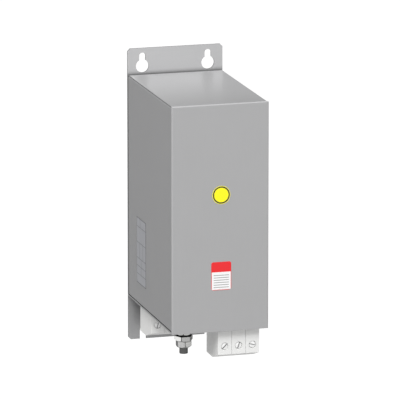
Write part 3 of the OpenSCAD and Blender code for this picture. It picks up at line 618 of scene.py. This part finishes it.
def turn(outline, centre, axis, steps):
    """A closed solid spun from an outline of (distance along the axis, radius)."""
    shape = bmesh.new()
    across = axis.orthogonal().normalized()
    points = [shape.verts.new(centre + axis * along + across * radius) for along, radius in outline]
    edges = [shape.edges.new(pair) for pair in zip(points, points[1:])]
    bmesh.ops.spin(shape, geom=points + edges, cent=centre, axis=axis, angle=2 * math.pi,
                   steps=steps, use_merge=True)
    bmesh.ops.remove_doubles(shape, verts=shape.verts, dist=MERGE_DISTANCE)
    bmesh.ops.recalc_face_normals(shape, faces=shape.faces)
    return shape


def cut(shape, point, outward):
    """Cuts a closed shape off at a plane and closes it there."""
    everything = shape.verts[:] + shape.edges[:] + shape.faces[:]
    done = bmesh.ops.bisect_plane(shape, geom=everything, dist=MERGE_DISTANCE / 10, plane_co=point,
                                  plane_no=outward, clear_outer=True)
    rim = [part for part in done["geom_cut"] if isinstance(part, bmesh.types.BMEdge)]
    bmesh.ops.contextual_create(shape, geom=rim)
    bmesh.ops.recalc_face_normals(shape, faces=shape.faces)


def join(shapes):
    """One shape from several closed ones."""
    whole = bmesh.new()
    for shape in shapes:
        mesh = bpy.data.meshes.new("joined")
        shape.to_mesh(mesh)
        shape.free()
        whole.from_mesh(mesh)
        bpy.data.meshes.remove(mesh)
    return whole


# Slotted clamp screws. Angles of the slots, from +X towards +Z, as the solids have them
SLOT_ANGLES = {"load": (44, 70, -17), "line": (77, 24, 128)}
HEAD_THICKNESS = 2.6 * MM
HEAD_RIM = 0.25 * MM
SHANK_RADIUS = 2.5 * MM
SHANK_CHAMFER = 0.4 * MM
SLOT_LIP = 0.1 * MM
LIP_ANGLE = math.radians(60)
# Steps round a screw, and from the middle of its dome to the rim
SCREW_STEPS = 48
DOME_STEPS = 6


def domed_outline(radius, dome, rim, depth):
    """Outline of a domed disc: from the middle of the dome to the rim and down to a flat back."""
    sphere = (radius ** 2 + dome ** 2) / (2 * dome)
    arc = []
    for step in range(DOME_STEPS + 1):
        out = (radius - rim) * step / DOME_STEPS
        arc.append((sphere - math.sqrt(sphere ** 2 - out ** 2), out))
    return arc + [(dome + rim * 0.4, radius - rim * 0.2), (dome + rim, radius), (depth, radius), (depth, 0)]


def clamp_screw(node, angle, terminal, bright, dark):
    """A domed screw head with painted shadow on the walls of its driver slot, on its plain shank."""
    low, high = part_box(node)
    radius = (high.x - low.x) / 2
    centre = Vector(((low.x + high.x) / 2, low.y, (low.z + high.z) / 2))
    inward = -FRONTWARD
    floor = terminal.slot_depth
    length = high.y - low.y
    base = turn([(floor, 0), (floor, radius), (HEAD_THICKNESS, radius), (HEAD_THICKNESS, SHANK_RADIUS),
                 (length - SHANK_CHAMFER, SHANK_RADIUS), (length, SHANK_RADIUS - SHANK_CHAMFER),
                 (length, 0)], centre, inward, SCREW_STEPS)
    across = Matrix.Rotation(-math.radians(angle), 3, "Y") @ UPWARD
    cheeks = []
    for side in (across, -across):
        cheek = turn(domed_outline(radius, terminal.dome, HEAD_RIM, floor), centre, inward, SCREW_STEPS)
        cut(cheek, centre + side * terminal.slot_width / 2, -side)
        lips = [edge for edge in sharp_edges(cheek, LIP_ANGLE)
                if all(vert.co.y < centre.y + floor - MERGE_DISTANCE for vert in edge.verts)]
        ease(cheek, lips, SLOT_LIP)
        cheek.normal_update()
        # Painted shadow: the faces of the slot's walls take the near-black second material
        for face in cheek.faces:
            beside = (face.calc_center_median() - centre).dot(side) < terminal.slot_width
            face.material_index = int(beside and abs(face.normal.dot(side)) > 0.9)
        cheeks.append(cheek)
    return show(join([base] + cheeks), node + "_domed", node, bright, dark)


# Threaded earth stud and its nuts. Angles of a corner of each hexagon from +X, as the solids have them
CORNER_ANGLES = {"earth_upper_nut": 12, "earth_collar": 0, "earth_nut": 26}
NUT_COLOUR = (0.82, 0.82, 0.81)
NUT_ROUGHNESS = 0.16
THREAD_STEPS = 40

def thread(centre, top, bottom, crest, depth, pitch):
    """A helical thread between two heights, closed at both ends, with a chamfered lower tip."""
    shape = bmesh.new()
    flat = pitch / 8
    profile = []
    level = bottom - pitch
    while level < top + pitch:
        profile += [(level, crest - depth), (level + flat, crest - depth),
                    (level + pitch / 2, crest), (level + pitch / 2 + flat, crest)]
        level += pitch
    points = [shape.verts.new((centre.x + radius, centre.y, height)) for height, radius in profile]
    edges = [shape.edges.new(pair) for pair in zip(points, points[1:])]
    bmesh.ops.spin(shape, geom=points + edges, cent=centre, axis=UPWARD, dvec=UPWARD * pitch / THREAD_STEPS,
                   angle=2 * math.pi, steps=THREAD_STEPS)
    bmesh.ops.remove_doubles(shape, verts=shape.verts, dist=MERGE_DISTANCE)
    bmesh.ops.recalc_face_normals(shape, faces=shape.faces)
    cut(shape, Vector((0, 0, top)), UPWARD)
    cut(shape, Vector((0, 0, bottom)), -UPWARD)
    for vert in shape.verts:
        reach = crest - depth + (vert.co.z - bottom)
        out = Vector((vert.co.x - centre.x, vert.co.y - centre.y))
        if out.length > reach:
            out *= reach / out.length
            vert.co.x, vert.co.y = centre.x + out.x, centre.y + out.y
    return shape


# Pieces

class FILTER_OT_case(bpy.types.Operator):
    """Back plate, wrapper, front panel and bottom tray"""
    bl_idname = "line_filter.case"
    bl_label = "Case"

    def execute(self, context):
        sheet = settings("filter_sheet")
        metal = rolled_sheet("case_sheet", tuple(sheet.colour), sheet.metallic, sheet.roughness)
        inner = rolled_sheet("sheet_inner", shade(sheet.colour, 0.95), sheet.metallic,
                             sheet.roughness + 0.05)
        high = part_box("wrapper")[1]
        # The wrapper gets painted light over its top and a painted shade line along its top folds
        folded = rolled_sheet("folded_sheet_painted_light", tuple(sheet.colour), sheet.metallic, sheet.roughness,
                              fold=(high.x - sheet.fold, high.z - sheet.fold),
                              painted_crown_light=[(CAD_BOX[0][1] * share, factor) for share, factor in CROWN_PAINTED_LIGHT])
        foot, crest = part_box("back_plate")
        # Painted shade at the plate's foot, behind the case and at the joint with the case's top, and
        # painted light above it
        painted_light_pairs = [(foot.z, PLATE_FOOT_PAINTED_SHADE), (foot.z + PLATE_FOOT_HEIGHT, PLATE_HIDDEN_PAINTED_SHADE)]
        painted_light_pairs += [(high.z + above, factor) for above, factor in PLATE_PAINTED_CONTACT_SHADOW]
        painted_light_pairs.append((crest.z, PLATE_TOP_PAINTED_LIGHT))
        plate = rolled_sheet("plate_sheet_painted_light", tuple(sheet.colour), sheet.metallic, sheet.roughness,
                             painted_light_pairs=painted_light_pairs)
        # Painted shade on the plate's cut edges, round its rim and on the walls of its holes
        painted_shade = rolled_sheet("cut_edge_painted_shade", shade(sheet.colour, CUT_EDGE_PAINTED_SHADE), sheet.metallic,
                            sheet.roughness + 0.1)
        # Painted shadow: the tray's upward faces are near black, so the slit under the wrapper reads dark
        inside = rolled_sheet("tray_painted_shadow", shade(sheet.colour, TRAY_PAINTED_SHADOW), 0.0, 0.8)
        soften("wrapper", sheet.edge, folded)
        soften("back_plate", sheet.edge, plate, painted_shade, chosen=is_cut_edge)
        soften("front_panel", PANEL_EDGE, metal)
        soften("bottom_tray", sheet.edge, metal, inside, chosen=looks_up)
        for node in ("spacer_strips", "corner_angles"):
            soften(node, sheet.edge, inner)
        return {"FINISHED"}


class FILTER_OT_fasteners(bpy.types.Operator):
    """Cover screws, press nuts and rivets of the case"""
    bl_idname = "line_filter.fasteners"
    bl_label = "Case fasteners"

    def execute(self, context):
        plated = bright_steel("fastener_steel", (0.5, 0.5, 0.52), 0.3)
        rivet = bright_steel("rivet_aluminium", (0.72, 0.72, 0.74), 0.36)
        soften("cover_screws", 0.1 * MM, plated)
        soften("press_nuts", 0.15 * MM, plated)
        soften("plate_rivets", 0.12 * MM, rivet)
        coat(plated, "choke_stud", "choke_nut", "board_screws")
        return {"FINISHED"}


class FILTER_OT_terminals(bpy.types.Operator):
    """Moulded pole housings of both terminal blocks"""
    bl_idname = "line_filter.terminals"
    bl_label = "Terminal housings"

    def execute(self, context):
        terminal = settings("filter_terminal")
        plastic = moulded_plastic("terminal_plastic", tuple(terminal.colour), 0.42)
        for side in SIDES:
            for pole in POLES:
                soften(f"{side}_housing_{pole}", terminal.edge, plastic, segments=3)
        return {"FINISHED"}


class FILTER_OT_clamps(bpy.types.Operator):
    """Clamp screws, clamp cages and contact bars"""
    bl_idname = "line_filter.clamps"
    bl_label = "Clamps"

    def execute(self, context):
        terminal = settings("filter_terminal")
        screw_metal = bright_steel("screw_steel", (0.93, 0.93, 0.92), 0.25, grain=1500, metallic=0.15)
        # Painted shadow: near-black steel for the walls of the driver slots
        slot_painted_shadow = bright_steel("slot_painted_shadow_steel", (0.07, 0.07, 0.07), 0.5, grain=1500)
        cage_metal = bright_steel("clamp_steel", (0.62, 0.52, 0.25), 0.34)
        bar_metal = bright_steel("bar_metal", (0.72, 0.7, 0.66), 0.3, stretch=(1, 1, 0.05))
        for side in SIDES:
            for pole, angle in zip(POLES, SLOT_ANGLES[side]):
                clamp_screw(f"{side}_screw_{pole}", angle, terminal, screw_metal, slot_painted_shadow)
                soften(f"{side}_cage_{pole}", 0.2 * MM, cage_metal)
            soften(f"{side}_bars", 0.15 * MM, bar_metal)
        return {"FINISHED"}


class FILTER_OT_earth(bpy.types.Operator):
    """Earth stud with its thread, nuts and washers"""
    bl_idname = "line_filter.earth"
    bl_label = "Earth stud"

    def execute(self, context):
        earth = settings("filter_earth")
        low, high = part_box("earth_stud")
        centre = Vector(((low.x + high.x) / 2, (low.y + high.y) / 2, 0))
        bright = bright_steel("nut_steel", NUT_COLOUR, NUT_ROUGHNESS, grain=1100)
        black = bright_steel("washer_black", (0.03, 0.03, 0.03), 0.4)
        dark = bright_steel("stud_steel", (0.15, 0.15, 0.147), 0.32, grain=1100)
        # Painted shade: a dark copy of the nut steel for the chamfers under the nuts
        chamfer_painted_shade = bright_steel("nut_chamfers_painted_shade", (0.34, 0.34, 0.34), 0.3, grain=1100)
        soften("earth_washer", earth.edge, bright)
        for node, first in CORNER_ANGLES.items():
            # Each nut's steel carries painted shade lines along its corners
            steel = hexagon_steel(node + "_steel", NUT_COLOUR, NUT_ROUGHNESS, centre, first)
            soften(node, earth.edge, steel, chamfer_painted_shade, chosen=slopes_down)
        soften("lock_washer", earth.edge / 2, black)
        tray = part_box("bottom_tray")[0].z
        shank = thread(centre, tray, low.z, earth.crest, earth.depth, earth.pitch)
        head = merged_copy("earth_stud")
        cut(head, Vector((0, 0, tray)), -UPWARD)
        show(join([shank, head]), "earth_stud_threaded", "earth_stud", dark)
        return {"FINISHED"}


class FILTER_OT_chokes(bpy.types.Operator):
    """Ring cores, windings, dividers and what holds them"""
    bl_idname = "line_filter.chokes"
    bl_label = "Chokes"

    def execute(self, context):
        inner = settings("filter_inner")
        core = moulded_plastic("core_coating", (0.03, 0.1, 0.07), 0.35, grain=500, cloud=0.12)
        wire = enamelled_wire("winding_copper", tuple(inner.copper))
        divider = moulded_plastic("divider_plastic", (0.78, 0.76, 0.68), 0.5)
        coat(core, "rear_core", "front_core")
        coat(wire, "link_leads")
        for node in ("rear_windings", "front_windings"):
            soften(node, 0.3 * MM, wire, segments=1)
        for node in ("rear_divider", "front_divider", "choke_pads"):
            soften(node, 0.2 * MM, divider)
        coat(bpy.data.materials["sheet_inner"], "choke_clamp")
        return {"FINISHED"}


class FILTER_OT_board(bpy.types.Operator):
    """Capacitor board with its components, stand-offs and insulating sheet"""
    bl_idname = "line_filter.board"
    bl_label = "Capacitor board"

    def execute(self, context):
        inner = settings("filter_inner")
        coat(printed_board("board_laminate", tuple(inner.board)), "capacitor_board")
        coat(bright_steel("standoff_brass", (0.68, 0.5, 0.2), 0.28), "board_standoffs")
        film_plastic = moulded_plastic("insulation_film", (0.86, 0.82, 0.68), 0.5, grain=900, cloud=0.05)
        large_case = moulded_plastic("x_cap_case", (0.7, 0.48, 0.06), 0.3)
        small_case = moulded_plastic("y_cap_case", (0.03, 0.12, 0.36), 0.25)
        body = moulded_plastic("resistor_body", (0.55, 0.4, 0.24), 0.35)
        coat(film_plastic, "insulation_sheet")
        soften("x_capacitors", inner.edge, large_case, segments=3)
        soften("y_capacitors", inner.edge * 2, small_case, segments=4)
        soften("discharge_resistors", inner.edge, body, segments=3)
        return {"FINISHED"}


class FILTER_OT_leads(bpy.types.Operator):
    """Leads between the terminals and the chokes"""
    bl_idname = "line_filter.leads"
    bl_label = "Leads"

    def execute(self, context):
        coat(moulded_plastic("brown_lead", (0.1, 0.04, 0.02), 0.45, grain=800, cloud=0.08), "line_leads")
        coat(moulded_plastic("black_lead", (0.02, 0.02, 0.02), 0.45, grain=800, cloud=0.1), "load_leads")
        return {"FINISHED"}


class FILTER_OT_stickers(bpy.types.Operator):
    """Round, white and silver stickers"""
    bl_idname = "line_filter.stickers"
    bl_label = "Stickers"

    def execute(self, context):
        sticker = settings("filter_sticker")
        low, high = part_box("round_sticker")
        coat(round_film("yellow_sticker", tuple(sticker.yellow), (low + high) / 2, (high.x - low.x) / 2),
             "round_sticker")
        low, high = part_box("notice_sticker")
        coat(ruled_film("white_sticker", (0.86, 0.86, 0.86), tuple(sticker.red), low, high,
                        sticker.header_height, sticker.rules), "notice_sticker")
        low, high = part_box("rating_sticker")
        coat(boxed_film("silver_sticker", tuple(sticker.silver), low, high), "rating_sticker")
        return {"FINISHED"}


# Stage, with lengths in metres

FLOOR_GREY = 0.6
FLOOR_GLOW = 0.6
FLOOR_SIDE = 30
# How far behind the wall plate the floor's middle lies
FLOOR_CENTRE = 4
# Grey of the surroundings, which the camera sees only past the floor's edge
WORLD_GREY = 0.8
# Lamps with their place, size and power, and what they shine on
LAMPS = (("key", (-1.35, -2.1, 2.3), 1.5, 84), ("top", (-0.2, -0.4, 2.3), 1.2, 24))
LAMP_AIM = Vector((0, -0.07, 0))
# The grey card behind the filter
GREY_CARD_PLACE = Vector((0, 1.3, 0.1))
GREY_CARD_SIDE = 3.2
GREY_CARD_SHADE = 0.17
# Cards that the nuts reflect, with the angle from the front towards the left, side, grey and glow
STUD_CARDS = (("left_card", 104, 0.9, 0.3, 0.75), ("near_card", 58, 0.5, 0.3, 0.6),
              ("right_card", -68, 0.7, 0.2, 0))
STUD_CARD_PLACE = Vector((0, -2, -0.62))


def plane(name, centre, side, across, material):
    """A square sheet of the stage."""
    shape = bmesh.new()
    bmesh.ops.create_grid(shape, x_segments=1, y_segments=1, size=side / 2)
    shape.transform(Matrix.Translation(centre) @ across)
    mesh = bpy.data.meshes.new(name)
    shape.to_mesh(mesh)
    shape.free()
    mesh.materials.append(material)
    sheet = bpy.data.objects.new(name, mesh)
    bpy.context.scene.collection.objects.link(sheet)
    return sheet


def reflected_card(name, centre, side, across, grey, glow=0.0):
    """A card that shows only in reflections, and may glow there."""
    colour = (grey, grey, grey)
    finish = Finish(name, colour, 0.0, 0.9, Emission_Color=(1, 1, 1, 1), Emission_Strength=glow)
    finish.paint(finish.vary(finish.noise(12), colour, 0.05))
    card = plane(name, centre, side, across, finish.material)
    card.visible_camera = False
    card.visible_diffuse = False
    card.visible_shadow = False


def seen_as_white(finish, level):
    """Adds light of its own to a surface where the camera sees it, and keeps its shading."""
    path = finish.add("ShaderNodeLightPath")
    glow = finish.add("ShaderNodeEmission")
    finish.link(finish.math("MULTIPLY", path.outputs["Is Camera Ray"], level), glow.inputs["Strength"])
    both = finish.add("ShaderNodeAddShader")
    finish.link(finish.shader.outputs["BSDF"], both.inputs[0])
    finish.link(glow.outputs[0], both.inputs[1])
    output = next(node for node in finish.tree.nodes if node.type == "OUTPUT_MATERIAL")
    finish.link(both.outputs[0], output.inputs["Surface"])


def lamp(name, place, aim, size, power):
    """A square soft lamp that shines from place towards aim."""
    data = bpy.data.lights.new(name, "AREA")
    data.shape = "SQUARE"
    data.size = size
    data.energy = power
    light = bpy.data.objects.new(name, data)
    bpy.context.scene.collection.objects.link(light)
    light.location = place
    light.rotation_euler = (aim - place).to_track_quat("-Z", "Y").to_euler()
    light.visible_glossy = False


def paint_world(fill):
    """Pale surroundings to the camera and in reflections, and a softer even light elsewhere."""
    world = bpy.data.worlds.new("Studio")
    bpy.context.scene.world = world
    world.use_nodes = True
    tree = world.node_tree
    tree.nodes.clear()
    path = tree.nodes.new("ShaderNodeLightPath")
    seen = path.outputs["Is Camera Ray"]
    for ray in ("Is Glossy Ray", "Is Transmission Ray"):
        either = tree.nodes.new("ShaderNodeMath")
        either.operation = "MAXIMUM"
        tree.links.new(seen, either.inputs[0])
        tree.links.new(path.outputs[ray], either.inputs[1])
        seen = either.outputs[0]
    level = tree.nodes.new("ShaderNodeMapRange")
    level.inputs["To Min"].default_value = fill
    level.inputs["To Max"].default_value = 1
    tree.links.new(seen, level.inputs["Value"])
    sky = tree.nodes.new("ShaderNodeBackground")
    sky.inputs["Color"].default_value = (WORLD_GREY, WORLD_GREY, WORLD_GREY, 1)
    tree.links.new(level.outputs["Result"], sky.inputs["Strength"])
    output = tree.nodes.new("ShaderNodeOutputWorld")
    tree.links.new(sky.outputs[0], output.inputs["Surface"])


class FILTER_OT_stage(bpy.types.Operator):
    """Camera, lamps, floor and the cards that show in reflections"""
    bl_idname = "line_filter.stage"
    bl_label = "Stage"

    def execute(self, context):
        stage = settings("filter_stage")
        scene = context.scene
        scene.view_settings.view_transform = "Standard"
        paint_world(stage.fill)
        target = Vector(stage.target)
        level = math.cos(stage.elevation) * stage.distance
        back = Vector((-math.sin(stage.azimuth) * level, -math.cos(stage.azimuth) * level,
                       math.sin(stage.elevation) * stage.distance))
        view = bpy.data.cameras.new("Camera")
        view.lens = stage.lens
        view.sensor_width = 36
        camera = bpy.data.objects.new("Camera", view)
        scene.collection.objects.link(camera)
        camera.location = target + back
        camera.rotation_euler = (-back).to_track_quat("-Z", "Y").to_euler()
        scene.camera = camera
        ground = Finish("floor", (FLOOR_GREY, FLOOR_GREY, FLOOR_GREY), 0.0, 0.9)
        ground.relief(ground.noise(30), 0.05, 0.5 * MM)
        seen_as_white(ground, FLOOR_GLOW)
        plane("floor", Vector((0, FLOOR_CENTRE, -stage.floor_drop)), FLOOR_SIDE, Matrix.Identity(4),
              ground.material)
        upright = Matrix.Rotation(math.pi / 2, 4, "X")
        reflected_card("grey_card", GREY_CARD_PLACE, GREY_CARD_SIDE, upright, GREY_CARD_SHADE)
        for name, turned, side, grey, glow in STUD_CARDS:
            around = Matrix.Rotation(-math.radians(turned), 4, "Z")
            reflected_card(name, around @ STUD_CARD_PLACE, side, around @ upright, grey, glow)
        for name, place, size, power in LAMPS:
            lamp(name, Vector(place), LAMP_AIM, size, power)
        return {"FINISHED"}


OPERATORS = (FILTER_OT_case, FILTER_OT_fasteners, FILTER_OT_terminals, FILTER_OT_clamps, FILTER_OT_earth,
             FILTER_OT_chokes, FILTER_OT_board, FILTER_OT_leads, FILTER_OT_stickers, FILTER_OT_stage)


class FILTER_PT_panel(bpy.types.Panel):
    """Lists the pieces and the stage in the sidebar"""
    bl_idname = "FILTER_PT_panel"
    bl_label = "Three-phase line filter"
    bl_space_type = "VIEW_3D"
    bl_region_type = "UI"
    bl_category = "Line filter"

    def draw(self, context):
        for name, group in GROUPS.items():
            box = self.layout.box()
            box.label(text=group.__doc__)
            for key in group.__annotations__:
                box.prop(getattr(context.scene, name), key)
        for operator in OPERATORS:
            self.layout.operator(operator.bl_idname)


def register():
    """Registers the settings, the operators and the panel."""
    for name, group in GROUPS.items():
        bpy.utils.register_class(group)
        setattr(bpy.types.Scene, name, PointerProperty(type=group))
    for item in OPERATORS + (FILTER_PT_panel,):
        bpy.utils.register_class(item)


def unregister():
    """Takes away what register added."""
    for item in (FILTER_PT_panel,) + OPERATORS[::-1]:
        bpy.utils.unregister_class(item)
    for name, group in GROUPS.items():
        delattr(bpy.types.Scene, name)
        bpy.utils.unregister_class(group)


def main():
    """Builds every piece and the stage."""
    register()
    for operator in OPERATORS:
        category, name = operator.bl_idname.split(".")
        getattr(getattr(bpy.ops, category), name)()


if __name__ == "__main__":
    main()
